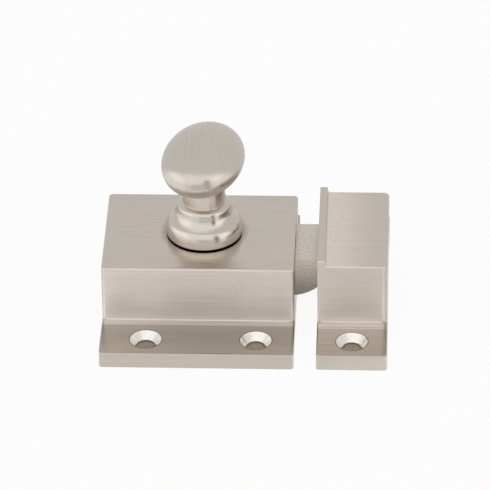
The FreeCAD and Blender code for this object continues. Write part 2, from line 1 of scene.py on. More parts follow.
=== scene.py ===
"""Cupboard catch latch: its finishes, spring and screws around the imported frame.

The catch lies on its back on a pale floor. The case, strike, knob, bolt, crank, washer and
back plate are the frame's own nodes, each with a procedural finish. The spring and the
machine screws are built here, with closed end coils and cut threads, and stand for the
frame's plain solids. Sizes are written in millimetres and the meshes are in metres.
"""

import functools
import logging
import math
from collections.abc import Iterable, Mapping, Sequence
from dataclasses import dataclass, field
from enum import Enum
from typing import Any

import bmesh
import bpy
from mathutils import Matrix, Vector


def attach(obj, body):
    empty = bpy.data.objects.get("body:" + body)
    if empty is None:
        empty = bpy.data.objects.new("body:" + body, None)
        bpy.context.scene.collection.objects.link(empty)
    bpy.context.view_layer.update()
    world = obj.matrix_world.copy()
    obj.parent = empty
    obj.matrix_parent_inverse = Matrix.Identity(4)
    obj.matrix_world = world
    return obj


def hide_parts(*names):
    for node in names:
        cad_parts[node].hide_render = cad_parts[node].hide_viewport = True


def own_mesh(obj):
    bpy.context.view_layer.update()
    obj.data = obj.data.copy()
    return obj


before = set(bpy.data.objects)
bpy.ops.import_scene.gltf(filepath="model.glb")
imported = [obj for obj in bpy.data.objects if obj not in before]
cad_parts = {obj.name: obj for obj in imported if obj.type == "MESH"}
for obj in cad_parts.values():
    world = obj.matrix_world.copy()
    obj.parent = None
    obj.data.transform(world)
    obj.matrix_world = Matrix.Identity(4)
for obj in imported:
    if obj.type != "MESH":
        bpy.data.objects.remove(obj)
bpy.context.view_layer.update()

LOG = logging.getLogger("cupboard_catch")
MM = 0.001
Colour = tuple[float, float, float]
Point = tuple[float, float]
Place = tuple[float, float, float]


class Grain(Enum):
    """The way in which a polisher's belt ran, as the axes that its lines follow."""

    ALONG_X = (1, 0, 0)
    ALONG_Y = (0, 1, 0)
    UPRIGHT = (0, 0, 1)
    FRONT_TO_BACK = (0, 1, 1)


class Wire:
    """A value in a node tree: an output socket that can be used in arithmetic."""

    def __init__(self, board: "Board", socket: bpy.types.NodeSocket | None) -> None:
        """Hold the socket and the board that its maths nodes go to.

        Args:
            board: The board of the socket's tree.
            socket: An output socket, or None for a node that has no output.
        """
        self.board = board
        self.socket = socket

    def maths(self, operation: str, *others: Any) -> "Wire":
        """The result of a Math node on this value and other ones or numbers."""
        return self.board.add("ShaderNodeMath", dict(enumerate((self, *others))),
                              operation=operation)

    def __add__(self, other: Any) -> "Wire":
        """This value plus another."""
        return self.maths("ADD", other)

    def __sub__(self, other: Any) -> "Wire":
        """This value less another."""
        return self.maths("SUBTRACT", other)

    def __rsub__(self, other: float) -> "Wire":
        """A number less this value."""
        return -self + other

    def __mul__(self, other: Any) -> "Wire":
        """This value times another."""
        return self.maths("MULTIPLY", other)

    def __truediv__(self, other: Any) -> "Wire":
        """This value divided by another."""
        return self.maths("DIVIDE", other)

    def __neg__(self) -> "Wire":
        """This value with its sign turned."""
        return self.maths("MULTIPLY", -1.0)

    def __abs__(self) -> "Wire":
        """This value without its sign."""
        return self.maths("ABSOLUTE")

    def __pow__(self, other: Any) -> "Wire":
        """This value to a power."""
        return self.maths("POWER", other)

    __radd__ = __add__
    __rmul__ = __mul__

    def lowest(self, other: Any) -> "Wire":
        """The lower of this value and another."""
        return self.maths("MINIMUM", other)

    def highest(self, other: Any) -> "Wire":
        """The higher of this value and another."""
        return self.maths("MAXIMUM", other)

    def rise(self, low: float, high: float) -> "Wire":
        """A smooth step of this value, from 0 at a low place to 1 at a high one."""
        return self.board.add("ShaderNodeMapRange", {
            "Value": self, "From Min": low, "From Max": high}, interpolation_type="SMOOTHSTEP")

    def fall(self, low: float, high: float) -> "Wire":
        """A smooth step of this value from 1 down to 0."""
        return 1 - self.rise(low, high)

    def within(self, low: float, high: float, soft: float) -> "Wire":
        """1 between two limits and 0 outside them, with a soft step to each side of each."""
        return self.rise(low - soft, low + soft) * self.fall(high - soft, high + soft)

    def blend(self, other: Any, share: "Wire") -> "Wire":
        """This value where the share is 0, and another where it is 1."""
        return self + (other - self) * share

    def reach(self, other: "Wire") -> "Wire":
        """How far the point with this value and another as its places is from the origin."""
        return (self * self + other * other) ** 0.5


class Board:
    """A node tree, and the one way in which nodes are put into it."""

    def __init__(self, tree: bpy.types.NodeTree) -> None:
        """Hold a tree and empty it."""
        self.tree = tree
        tree.nodes.clear()

    def add(self, kind: str, values: Mapping[str | int, Any] | None = None,
            result: str | int = 0, **settings: Any) -> Wire:
        """Put in one node.

        Args:
            kind: The node's type.
            values: Wires or plain values of its inputs, by name or number.
            result: The output to return.
            **settings: The node's own properties, which are set first.

        Returns:
            That output.
        """
        node = self.tree.nodes.new(kind)
        for name, setting in settings.items():
            setattr(node, name, setting)
        for place, value in (values or {}).items():
            if isinstance(value, Wire):
                self.tree.links.new(value.socket, node.inputs[place])
            else:
                node.inputs[place].default_value = value
        return Wire(self, node.outputs[result] if node.outputs else None)

    def vector(self, operation: str, *values: Any) -> Wire:
        """The result of a Vector Math node on one or two vectors."""
        return self.add("ShaderNodeVectorMath", dict(enumerate(values)), operation=operation)

    def split(self, vector: Wire) -> tuple[Wire, ...]:
        """The three parts of a vector."""
        parts = self.add("ShaderNodeSeparateXYZ", {0: vector}).socket.node
        return tuple(Wire(self, output) for output in parts.outputs)

    def join(self, x: Any, y: Any, z: Any) -> Wire:
        """A vector of three parts."""
        return self.add("ShaderNodeCombineXYZ", {0: x, 1: y, 2: z})

    def millimetres(self) -> Wire:
        """The place on the piece, in millimetres."""
        metres = self.add("ShaderNodeTexCoord", result="Object")
        return self.vector("MULTIPLY", metres, (1 / MM,) * 3)

    def noise(self, vector: Wire, detail: float = 2.0, roughness: float = 0.5) -> Wire:
        """Noise about 0.5, one grain to a unit of the vector."""
        return self.add("ShaderNodeTexNoise", {
            "Vector": vector, "Scale": 1.0, "Detail": detail, "Roughness": roughness})

    def tint(self, colour: Wire | Colour, other: Wire | Colour, share: Wire) -> Wire:
        """A blend of two colours, each wired or plain."""
        first, last = (end if isinstance(end, Wire) else (*end, 1.0)
                       for end in (colour, other))
        return self.add("ShaderNodeMix", {0: share, 6: first, 7: last}, 2,
                        data_type="RGBA", clamp_factor=True)

    def toned(self, colour: Wire | Colour, amount: Wire) -> Wire:
        """A colour, brighter or darker by a factor."""
        return self.add("ShaderNodeVectorMath", {0: colour, "Scale": amount},
                        operation="SCALE")


class MetalBoard(Board):
    """The node tree of one metal finish, from the place on a piece to its surface."""

    def __init__(self, name: str) -> None:
        """Start a material.

        Args:
            name: The material's name.
        """
        self.material = bpy.data.materials.new(name)
        self.material.use_nodes = True
        super().__init__(self.material.node_tree)
        self.place = self.millimetres()
        self.x, self.y, self.z = self.split(self.place)

    def lines(self, grain: Grain, width: float, length: float, seed: float = 0.0) -> Wire:
        """Noise about 0.5, drawn out into belt lines; another seed gives other lines."""
        factors = tuple(1 / length if along else 1 / width for along in grain.value)
        drawn = self.vector("MULTIPLY", self.place, factors)
        return self.noise(self.vector("ADD", drawn, (seed,) * 3))

    def rings(self, width: float, length: float, seed: float = 0.0) -> Wire:
        """Noise about 0.5, drawn out into lathe lines round the Z axis."""
        return self.noise(self.join(self.x.reach(self.y) / width + seed, self.z / width,
                                    (self.x + self.y) / length))

    def patches(self, size: float) -> Wire:
        """Soft patches of a size in millimetres, about 0."""
        return self.noise(self.vector("MULTIPLY", self.place, (1 / size,) * 3)) - 0.5

    def grit(self, grains: float, detail: float) -> Wire:
        """Sharp grains about 0.5, by how many there are to a millimetre."""
        return self.noise(self.vector("MULTIPLY", self.place, (grains,) * 3), detail, 0.6)

    def near_axes(self, centres: Iterable[Point], radius: float, soft: float = 0.04) -> Wire:
        """1 inside upright cylinders of one radius, such as screw holes."""
        masks = ((self.x - across).reach(self.y - along).fall(radius - soft, radius + soft)
                 for across, along in centres)
        return functools.reduce(Wire.highest, masks)

    def in_box(self, low: Place, high: Place, soft: float = 0.02) -> Wire:
        """1 inside a box between two corners, with its walls."""
        return math.prod(part.within(lower - soft, upper + soft, soft)
                         for part, lower, upper in zip((self.x, self.y, self.z), low, high))


class HatBoard(MetalBoard):
    """The node tree of a hat-shaped casting's finish, with masks for its kinds of faces.

    Attributes:
        side: 1 on faces that look left and right.
        wall: 1 on faces that look forward and back.
        corner: 1 on the rounded corners between those, above the flanges.
        level: 1 on faces that look up and down.
        flange: 1 on the flanges' level faces.
        top: 1 on the level faces above them.
        block: 1 above the flanges.
    """

    def __init__(self, name: str, flange_top: float) -> None:
        """Start a material.

        Args:
            name: The material's name.
            flange_top: Height of the flanges' upper faces, in millimetres.
        """
        super().__init__(name)
        facing = self.split(self.add("ShaderNodeTexCoord", result="Normal"))
        sideways, forward, upward = (abs(part) for part in facing)
        # A face counts as level up to 37 degrees off, and not at all from 53 degrees on.
        self.side = sideways.rise(0.6, 0.8)
        self.wall = forward.rise(0.6, 0.9)
        self.level = upward.rise(0.6, 0.8)
        low = self.z.fall(flange_top - 0.02, flange_top + 0.25)
        self.flange = self.level * low
        self.top = self.level * (1 - low)
        self.block = self.z.rise(flange_top, flange_top + 0.4)
        self.corner = (sideways * forward * 2).rise(0.3, 0.95) * self.block


@dataclass
class Skin:
    """A metal surface that is laid coat over coat.

    Attributes:
        board: The board of its tree.
        colour: Its colour so far.
        roughness: Its roughness so far.
        height: Its fine relief so far, from 0 to 1.
    """

    board: MetalBoard
    colour: Wire
    roughness: Wire
    height: Wire

    def cover(self, share: Wire, colour: Wire | Colour, roughness: Any,
              height: Wire | None = None) -> None:
        """Lay another coat over a part of the surface.

        Args:
            share: 1 where the coat covers the surface.
            colour: Its colour.
            roughness: Its roughness.
            height: Its relief, or None if the relief below shows through.
        """
        self.colour = self.board.tint(self.colour, colour, share)
        self.roughness = self.roughness.blend(roughness, share)
        if height:
            self.height = self.height.blend(height, share)

    def finish(self, depth: float) -> bpy.types.Material:
        """Close the tree with this surface.

        Args:
            depth: The relief's depth, in millimetres.

        Returns:
            The material.
        """
        relief = self.board.add("ShaderNodeBump", {
            "Height": self.height, "Distance": depth * MM, "Strength": 1.0})
        surface = self.board.add("ShaderNodeBsdfPrincipled", {
            "Base Color": self.colour, "Roughness": self.roughness, "Normal": relief,
            "Metallic": 1.0})
        self.board.add("ShaderNodeOutputMaterial", {"Surface": surface})
        return self.board.material


@dataclass(frozen=True)
class Brush:
    """How a polishing belt leaves a face.

    Attributes:
        width: Width of the finest lines, in millimetres.
        length: Their length.
        depth: Their depth.
        tone: How much they lighten and darken the metal.
        broad: How strongly the broad lines do so, against the finest.
        gloss: How much the lines change the metal's roughness.
    """

    width: float = 0.11
    length: float = 9.0
    depth: float = 0.030
    tone: float = 0.14
    broad: float = 0.9
    gloss: float = 0.10


@dataclass(frozen=True)
class WallFinishAndPaintedLight:
    """The tones of a casting's front and back faces.

    Attributes:
        roughness: How blurred their reflections are.
        lines: How much stronger the belt's finest lines are than on the top.
        top: Height at which the walls have their upper colour, in millimetres.
        foot: Their colour at their foot, paler there as painted light.
        head: Their colour at that height.
        corner: How much painted shade dims the highlight on the upright rounded corners.
        edge: How much duller the flanges' front and back faces are.
    """

    roughness: float = 0.46
    lines: float = 0.7
    top: float = 14.0
    foot: Colour = (0.99, 0.935, 0.88)
    head: Colour = (0.865, 0.79, 0.722)
    corner: float = 0.16
    edge: float = 0.07


@dataclass(frozen=True)
class FlangePaintedLight:
    """The tones of a casting's flanges, from the wall's foot to their edge.

    Attributes:
        foot: Distance of the wall's foot from the middle, in millimetres.
        edge: Distance of the flange's edge.
        foot_shade: How bright the flange is painted at its foot, as painted shade.
        edge_shade: How bright it is painted at its edge, as painted shade.
        middle_shade: How much darker the painted shade is halfway between them.
        lines: How much stronger the belt's finest lines are than on the top.
        darkest_at: Where along X the painted shade is darkest.
        far: A distance from there, in millimetres.
        ends: How much paler it is painted at that distance, as painted light.
        strip: How much paler a strip along the wall's foot is, as a painted highlight.
        highlight_width: How wide that strip is, in millimetres.
        highlight_colour: The metal's colour in that painted highlight.
        line: How dark the painted shade line inside the strip's end is.
    """

    foot: float = 14.3
    edge: float = 25.0
    foot_shade: float = 0.50
    edge_shade: float = 0.57
    middle_shade: float = 0.08
    lines: float = 2.4
    darkest_at: float = 4.0
    far: float = 22.0
    ends: float = 0.28
    strip: float = 0.34
    highlight_width: float = 1.1
    highlight_colour: Colour = (0.685, 0.635, 0.592)
    line: float = 0.35

    def lay(self, board: HatBoard, plate: Wire, tone: Wire) -> tuple[Wire, Wire]:
        """Tone the flanges.

        Args:
            board: The board of the casting's finish.
            plate: The metal's colour.
            tone: How bright it is.

        Returns:
            The colour and the brightness, with the flanges' painted light and shade.
        """
        out = abs(board.y)
        end = self.foot + self.highlight_width
        # The strip along the wall's foot is a painted highlight of the fillet there.
        strip = out.fall(end - 0.25, end + 0.25)
        across = out.rise(self.foot, self.edge)
        # Painted shade across the flange, darkest halfway out.
        pale = self.foot_shade + across * (self.edge_shade - self.foot_shade)
        pale = pale - across * (1 - across) * (4 * self.middle_shade) + strip * self.strip
        # A painted shade line inside the highlight strip's end.
        pale = pale * (1 - out.within(end - 0.6, end - 0.4, 0.12) * self.line)
        # Painted light: the flange is paler toward both ends along X.
        off = (board.x - self.darkest_at) / self.far
        pale = pale * (1 + off * off * self.ends)
        return (board.tint(plate, self.highlight_colour, strip * board.flange),
                tone.blend(tone * pale, board.flange))


@dataclass(frozen=True)
class Countersinks:
    """Countersunk holes: bright turned cones over dull bores.

    Attributes:
        places: Their places in X and Y, in millimetres.
        radius: The cones' outer radius.
        colour: The cones' colour.
        rim: How much darker the metal is in a narrow rim round them, as painted shade.
        rim_width: How wide the rim is.
        bore_radius: A radius just past the bores' own.
        bore_top: Height where the bores end and the cones start.
        bore_colour: The bores' colour.
    """

    places: tuple[Point, ...]
    radius: float = 3.1
    colour: Colour = (1.0, 0.925, 0.865)
    rim: float = 0.6
    rim_width: float = 0.18
    bore_radius: float = 2.1
    bore_top: float = 1.94
    bore_colour: Colour = (0.72, 0.65, 0.57)

    def lay(self, skin: Skin) -> None:
        """Cover the cones and the bores of a surface.

        Args:
            skin: The casting's surface.
        """
        board = skin.board
        turning = board.noise(board.vector("MULTIPLY", board.place, (1.5, 1.5, 14.0)))
        skin.cover(board.near_axes(self.places, self.radius),
                   board.toned(self.colour, 0.70 + turning * 0.66),
                   0.20 + turning * 0.10, turning * 0.05)
        below = board.z.fall(self.bore_top - 0.1, self.bore_top + 0.1)
        # Painted shade: each bore darkens toward its top edge under the cone.
        lit = 1 - board.z.rise(self.bore_top - 0.7, self.bore_top) * 0.6
        shaded_bore = board.toned(self.bore_colour, lit * (0.5 + board.grit(2.6, 3.0)))
        skin.cover(board.near_axes(self.places, self.bore_radius) * below, shaded_bore, 0.42)


@dataclass(frozen=True)
class SatinNickel:
    """Satin nickel plate on a hat-shaped casting: belt lines outside and a cast skin inside.

    Attributes:
        name: The finish's name.
        sinks: The casting's countersunk holes.
        hollow: Lowest and highest corner of the hollow inside.
        wall: The tones of its walls, with their painted light and shade.
        flange: The painted light and shade of its flanges.
        flange_top: Height of the flanges' upper faces, in millimetres.
        colour: The plate's colour on the top and the sides.
        roughness: How blurred its reflections are there.
        patches: How much soft patches change its tone and its roughness.
        brush: The belt's marks.
        strip: Box of a strip that is brushed along Y, if there is one.
        knob_shadow: Radii between which a painted shadow round the knob's foot fades, if any.
        knob_shadow_depth: How much darker that painted shadow is.
        crest: Places along X where the top's painted highlight peaks and where it ends, if
            any.
        crest_highlight: How much paler that painted highlight makes the top.
        cast: The colours of the hollow's skin.
    """

    name: str
    sinks: Countersinks
    hollow: tuple[Place, Place]
    wall: WallFinishAndPaintedLight = WallFinishAndPaintedLight()
    flange: FlangePaintedLight = FlangePaintedLight()
    flange_top: float = 3.38
    colour: Colour = (0.715, 0.648, 0.577)
    roughness: float = 0.09
    patches: float = 0.06
    brush: Brush = Brush()
    strip: tuple[Place, Place] | None = None
    knob_shadow: Point | None = None
    knob_shadow_depth: float = 0.42
    crest: Point | None = None
    crest_highlight: float = 0.24
    cast: tuple[Colour, Colour] = ((0.43, 0.41, 0.385), (0.52, 0.49, 0.455))

    def make(self) -> bpy.types.Material:
        """Build the material."""
        board = HatBoard(self.name, self.flange_top)
        brush, wall = self.brush, self.wall
        across = board.side.highest(board.in_box(*self.strip)) if self.strip else board.side

        def marks(width: float, length: float, seed: float) -> Wire:
            """Lines along X, and along Y where the belt ran across."""
            first, last = (board.lines(grain, width, length, seed)
                           for grain in (Grain.ALONG_X, Grain.ALONG_Y))
            return first.blend(last, across)

        fine = marks(brush.width, brush.length, seed=0.0)
        broad = marks(brush.width * 4, brush.length * 3, seed=40.0)
        patches = board.patches(1 / 0.12)
        drawn = 1 + board.wall * wall.lines + board.flange * self.flange.lines
        tone = 1 + ((fine - 0.5) * drawn + (broad - 0.5) * brush.broad) * brush.tone
        tone = tone + patches * self.patches
        tone = tone * (1 - board.wall * (1 - board.block) * wall.edge)
        # Painted shade dims the highlight on the upright rounded corners.
        tone = tone * (1 - board.corner * wall.corner)
        # Painted light: the walls' colour is paler toward their foot.
        climb = board.z.rise(self.flange_top, wall.top)
        plate = board.tint(self.colour, board.tint(wall.foot, wall.head, climb),
                           board.wall * board.block)
        plate, tone = self.flange.lay(board, plate, tone)
        tone = self.top_painted_light(board, tone)
        # Painted shade in a narrow ring round each countersink.
        rim = board.near_axes(self.sinks.places, self.sinks.radius + self.sinks.rim_width)
        tone = tone * (1 - rim * board.level * self.sinks.rim)
        roughness = self.roughness + board.wall * (wall.roughness - self.roughness)
        roughness = roughness + (broad - 0.5) * brush.gloss + patches * self.patches
        skin = Skin(board, board.toned(plate, tone), roughness, fine * 0.6 + broad * 0.4)
        self.sinks.lay(skin)
        grit = board.grit(3.2, 4.0)
        cast = board.toned(board.tint(*self.cast, grit), 1.0 + patches * 0.2)
        skin.cover(board.in_box(*self.hollow), cast, 0.42 + grit * 0.2, grit * 4.0)
        return skin.finish(brush.depth)

    def top_painted_light(self, board: HatBoard, tone: Wire) -> Wire:
        """Paint a shadow ring round the knob's foot and a highlight by the crest.

        Args:
            board: The board of the casting's finish.
            tone: How bright the metal is.

        Returns:
            The brightness, with the top's own.
        """
        if self.knob_shadow:
            # Painted shadow of the knob in a ring round its foot.
            near = board.x.reach(board.y).fall(*self.knob_shadow)
            tone = tone * (1 - near * board.top * self.knob_shadow_depth)
        # A painted highlight by the crest, with cast grit in it.
        if self.crest:
            start, end = self.crest
            near = board.x.rise(start - 0.2, start) * board.x.fall(start, end)
            high = board.z.rise(self.flange_top + 1.0, self.flange_top + 2.0)
            grit = (board.grit(3.5, 3.0) - 0.5) * 0.6
            tone = tone + near * high * board.level * (grit + self.crest_highlight)
        return tone


@dataclass(frozen=True)
class TurnedNickel:
    """The knob's finish: lathe lines on the turned foot, upright belt lines on the head.

    Attributes:
        name: The finish's name.
        colour: The plate's colour.
        roughness: How blurred the reflections of its foot are.
        head_roughness: How blurred those of its head are.
        under_roughness: How much more so they are under the head.
        head_foot: Height where the head starts, in millimetres.
        bare_top: Height up to which the shank is bare inside the case.
        bare: The shank's colour there.
        brush: The marks of the belt and the lathe.
        lathe_depth: How many times deeper the lathe's lines are than the belt's.
        lathe_lengths: Lengths of its finest and its broad lines, in millimetres.
    """

    name: str
    colour: Colour = (0.705, 0.648, 0.58)
    roughness: float = 0.15
    head_roughness: float = 0.25
    under_roughness: float = 0.14
    head_foot: float = 26.0
    bare_top: float = 15.6
    bare: Colour = (0.55, 0.54, 0.52)
    brush: Brush = Brush(width=0.14, length=7.0, depth=0.018, tone=0.16, gloss=0.06)
    lathe_depth: float = 2.2
    lathe_lengths: Point = (30.0, 40.0)

    def make(self) -> bpy.types.Material:
        """Build the material."""
        board = MetalBoard(self.name)
        brush = self.brush
        head = board.z.rise(self.head_foot - 1.0, self.head_foot + 1.0)
        under = head * board.z.fall(self.head_foot + 2.0, self.head_foot + 8.0)
        fine = board.rings(brush.width, self.lathe_lengths[0]).blend(
            board.lines(Grain.FRONT_TO_BACK, brush.width, brush.length), head)
        broad = board.rings(brush.width * 4, self.lathe_lengths[1], seed=20.0).blend(
            board.lines(Grain.FRONT_TO_BACK, brush.width * 5, brush.length * 3, seed=20.0),
            head)
        tone = 1 + ((fine - 0.5) + (broad - 0.5) * (1 - head * 0.6)) * brush.tone
        tone = tone + board.patches(5.0) * 0.05
        roughness = self.roughness + head * (self.head_roughness - self.roughness)
        roughness = roughness + under * self.under_roughness + (broad - 0.5) * brush.gloss
        deeper = self.lathe_depth - head * (self.lathe_depth - 1)
        skin = Skin(board, board.toned(self.colour, tone), roughness,
                    (fine * 0.6 + broad * 0.4) * deeper)
        skin.cover(board.z.fall(self.bare_top - 0.05, self.bare_top + 0.05), self.bare,
                   0.32 + broad * 0.1)
        return skin.finish(brush.depth)


@dataclass(frozen=True)
class CastNickel:
    """Nickel plate over a cast skin that was only tumbled: matt and grainy.

    Attributes:
        name: The finish's name.
        colour: The plate's colour.
        dark: Its colour in the low spots.
        roughness: How blurred its reflections are.
        grain: Grains to a millimetre.
        depth: The depth of its relief, in millimetres.
        shaded: Heights between which the painted shade on the skin fades out, in millimetres.
        shade: How bright the skin is painted below them, as painted shade.
    """

    name: str
    colour: Colour = (0.98, 0.91, 0.82)
    dark: Colour = (0.66, 0.60, 0.53)
    roughness: float = 0.40
    grain: float = 3.4
    depth: float = 0.09
    shaded: Point = (4.5, 14.5)
    shade: float = 0.36

    def make(self) -> bpy.types.Material:
        """Build the material."""
        board = MetalBoard(self.name)
        grit = board.grit(self.grain, 4.0)
        drawn = board.lines(Grain.UPRIGHT, 0.3, 6.0)
        # Painted shade: the bolt is darker toward its foot.
        paler = self.shade + board.z.rise(*self.shaded) * (1 - self.shade)
        tone = (0.97 + board.patches(1 / 0.35) * 0.08 + drawn * 0.06) * paler
        colour = board.toned(board.tint(self.dark, self.colour, grit.rise(0.3, 0.65)), tone)
        roughness = self.roughness + (grit - 0.5) * 0.25
        return Skin(board, colour, roughness, grit * 0.8 + drawn * 0.2).finish(self.depth)


@dataclass(frozen=True)
class PlainSteel:
    """Plated steel of the inner parts, with faint rolling or turning lines.

    Attributes:
        name: The finish's name.
        colour: The metal's colour.
        tarnish: Its colour in the dull patches.
        roughness: How blurred its reflections are.
        grain: The way of the lines, or None for lathe lines round the Z axis.
        depth: The depth of the lines, in millimetres.
    """

    name: str
    colour: Colour = (0.62, 0.63, 0.64)
    tarnish: Colour = (0.50, 0.50, 0.49)
    roughness: float = 0.28
    grain: Grain | None = Grain.ALONG_X
    depth: float = 0.003

    def make(self) -> bpy.types.Material:
        """Build the material."""
        board = MetalBoard(self.name)
        lines = board.lines(self.grain, 0.15, 8.0) if self.grain else board.rings(0.12, 20.0)
        dull = board.grit(0.3, 4.0)
        colour = board.toned(board.tint(self.colour, self.tarnish, dull.rise(0.45, 0.7)),
                             0.94 + lines * 0.12)
        roughness = self.roughness + (lines - 0.5) * 0.12 + (dull - 0.5) * 0.2
        return Skin(board, colour, roughness, lines).finish(self.depth)


SOCKETS = {float: "NodeSocketFloat", int: "NodeSocketInt", Vector: "NodeSocketVector",
           bpy.types.Material: "NodeSocketMaterial"}


class Recipe(Board):
    """A Geometry Nodes tree with named inputs, and how a piece is made by it."""

    def __init__(self, name: str, inputs: Mapping[str, Any]) -> None:
        """Start a tree.

        Args:
            name: The tree's name.
            inputs: Its inputs and the values that they are given.
        """
        super().__init__(bpy.data.node_groups.new(name, "GeometryNodeTree"))
        face = self.tree.interface
        face.new_socket("Geometry", in_out="INPUT", socket_type="NodeSocketGeometry")
        self.given = {}
        for label, value in inputs.items():
            socket = face.new_socket(label, in_out="INPUT", socket_type=SOCKETS[type(value)])
            self.given[socket.identifier] = value
        face.new_socket("Geometry", in_out="OUTPUT", socket_type="NodeSocketGeometry")
        outputs = self.add("NodeGroupInput").socket.node.outputs
        self.input = {output.name: Wire(self, output) for output in outputs if output.name}

    def close(self, geometry: Wire) -> None:
        """Realise the geometry, give it its finish and end the tree.

        Args:
            geometry: What the tree has made.
        """
        solid = self.add("GeometryNodeRealizeInstances", {0: geometry})
        dressed = self.add("GeometryNodeSetMaterial", {
            "Geometry": solid, "Material": self.input["Finish"]})
        self.add("NodeGroupOutput", {0: dressed})

    def make(self, name: str, blank: bpy.types.Mesh) -> bpy.types.Object:
        """Run the tree once and keep its result as a plain mesh.

        Args:
            name: The piece's name.
            blank: The mesh that the tree starts from.

        Returns:
            The piece, at the origin.
        """
        worker = put_in(name + "_blank", blank)
        modifier = worker.modifiers.new("make", "NODES")
        modifier.node_group = self.tree
        for identifier, value in self.given.items():
            modifier[identifier] = value
        bpy.context.view_layer.update()
        reader = bpy.context.evaluated_depsgraph_get()
        mesh = bpy.data.meshes.new_from_object(worker.evaluated_get(reader))
        worker.modifiers.remove(modifier)
        bpy.data.objects.remove(worker)
        mesh.name = name
        return put_in(name, mesh)


def put_in(name: str, data: bpy.types.ID) -> bpy.types.Object:
    """Put a new object of a mesh or a camera in the scene.

    Args:
        name: The object's name.
        data: The mesh or the camera.

    Returns:
        The object.
    """
    thing = bpy.data.objects.new(name, data)
    bpy.context.scene.collection.objects.link(thing)
    return thing


def turned_blank(name: str, outline: Sequence[Point], segments: int) -> bpy.types.Mesh:
    """A closed solid of revolution round the Z axis.

    Args:
        name: The mesh's name.
        outline: Radius and height of each ring, in millimetres, from the low pole to the
            high one. The first and last radius are 0.
        segments: How many sides a ring has.

    Returns:
        The mesh, with its faces outwards.
    """
    build = bmesh.new()
    rings = []
    for radius, height in outline[1:-1]:
        turns = [2 * math.pi * step / segments for step in range(segments)]
        rings.append([build.verts.new((radius * MM * math.cos(turn),
                                       radius * MM * math.sin(turn), height * MM))
                      for turn in turns])
    low = build.verts.new((0, 0, outline[0][1] * MM))
    high = build.verts.new((0, 0, outline[-1][1] * MM))
    for step in range(segments):
        after = (step + 1) % segments
        build.faces.new((low, rings[0][after], rings[0][step]))
        build.faces.new((high, rings[-1][step], rings[-1][after]))
        for lower, upper in zip(rings, rings[1:]):
            build.faces.new((lower[step], lower[after], upper[after], upper[step]))
    bmesh.ops.recalc_face_normals(build, faces=build.faces)
    mesh = bpy.data.meshes.new(name)
    build.to_mesh(mesh)
    build.free()
    return mesh


def dress(node: str, finish: bpy.types.Material) -> None:
    """Give one of the frame's nodes its finish.

    Args:
        node: The node's name.
        finish: The material.
    """
    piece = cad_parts[node]
    if not piece.material_slots:
        piece.data.materials.append(finish)
    for place in piece.material_slots:
        place.material = finish
    LOG.info("%s dressed in %s", node, finish.name)


def seat(piece: bpy.types.Object, body: str, node: str) -> None:
    """Let a new piece ride on its body and stand for a node of the frame.

    Args:
        piece: The piece.
        body: The body that it rides on.
        node: The node that it stands for.
    """
    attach(piece, body)
    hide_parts(node)
    LOG.info("%s stands for %s with %d faces", piece.name, node, len(piece.data.polygons))


@dataclass
class Made:
    """A piece that Geometry Nodes make from a blank mesh.

    Attributes:
        name: The piece's name.
    """

    name: str

    def blank(self) -> bpy.types.Mesh:
        """The mesh that its tree starts from, which is empty if the tree needs none."""
        return bpy.data.meshes.new(self.name)

    def recipe(self, finish: bpy.types.Material) -> Recipe:
        """The tree that makes the piece with a finish, which each kind writes for itself."""
        raise NotImplementedError

    def make(self, finish: bpy.types.Material, smooth: float = 35.0) -> bpy.types.Object:
        """Build the piece.

        Args:
            finish: Its material.
            smooth: The angle past which its edges are sharp, in degrees.

        Returns:
            The piece.
        """
        piece = self.recipe(finish).make(self.name, self.blank())
        piece.data.shade_smooth()
        piece.data.set_sharp_from_angle(angle=math.radians(smooth))
        return piece


